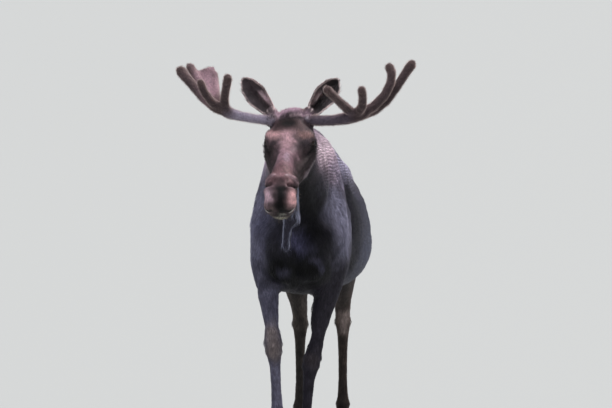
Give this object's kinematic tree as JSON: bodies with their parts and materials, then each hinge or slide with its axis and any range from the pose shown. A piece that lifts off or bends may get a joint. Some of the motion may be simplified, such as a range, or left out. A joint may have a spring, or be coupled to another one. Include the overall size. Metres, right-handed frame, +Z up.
{
  "type": "bull moose, life-size standing figure",
  "caption": "Life-size bull moose in summer coat, walking with one forefoot lifted, velvet antlers, throat bell and long overhanging muzzle.",
  "frame": {"origin": "on the floor, centred under the animal's box", "axes": "+Z up, the animal faces -Y, its left side is +X"},
  "size_m": [1.1298, 2.43, 2.0259],
  "materials": {
    "coat": "short blackish brown summer hair, browner on the face and lower hind legs, with a soft blue-grey sheen",
    "velvet": "dark brown growing-antler velvet with pale pinkish fuzz",
    "horn": "dull black-brown hoof horn with growth rings",
    "eye": "wet dark brown"
  },
  "bodies": {
    "root": {"antler_left_beam": "velvet", "antler_left_inner_tine": "velvet", "antler_left_long_tine": "velvet", "antler_left_outer_tine": "velvet", "antler_left_upright_tine": "velvet", "antler_right_beam": "velvet", "antler_right_inner_tine": "velvet", "antler_right_outer_tine": "velvet", "antler_right_thumb_tine": "velvet", "bell": "coat", "dewclaw_foreleg_left_left": "horn", "dewclaw_foreleg_left_right": "horn", "dewclaw_foreleg_right_left": "horn", "dewclaw_foreleg_right_right": "horn", "dewclaw_hindleg_left_left": "horn", "dewclaw_hindleg_left_right": "horn", "dewclaw_hindleg_right_left": "horn", "dewclaw_hindleg_right_right": "horn", "ear_left": "coat", "ear_right": "coat", "eye_left": "eye", "eye_right": "eye", "foreleg_left_cannon": "coat", "foreleg_left_foot": "coat", "foreleg_left_forearm": "coat", "foreleg_right_cannon": "coat", "foreleg_right_foot": "coat", "foreleg_right_forearm": "coat", "head": "coat", "hindleg_left_cannon": "coat", "hindleg_left_foot": "coat", "hindleg_left_gaskin": "coat", "hindleg_right_cannon": "coat", "hindleg_right_foot": "coat", "hindleg_right_gaskin": "coat", "hoof_foreleg_left_left": "horn", "hoof_foreleg_left_right": "horn", "hoof_foreleg_right_left": "horn", "hoof_foreleg_right_right": "horn", "hoof_hindleg_left_left": "horn", "hoof_hindleg_left_right": "horn", "hoof_hindleg_right_left": "horn", "hoof_hindleg_right_right": "horn", "lower_jaw": "coat", "neck": "coat", "tail": "coat", "thigh_left": "coat", "thigh_right": "coat", "trunk": "coat"}
  },
  "joints": []
}
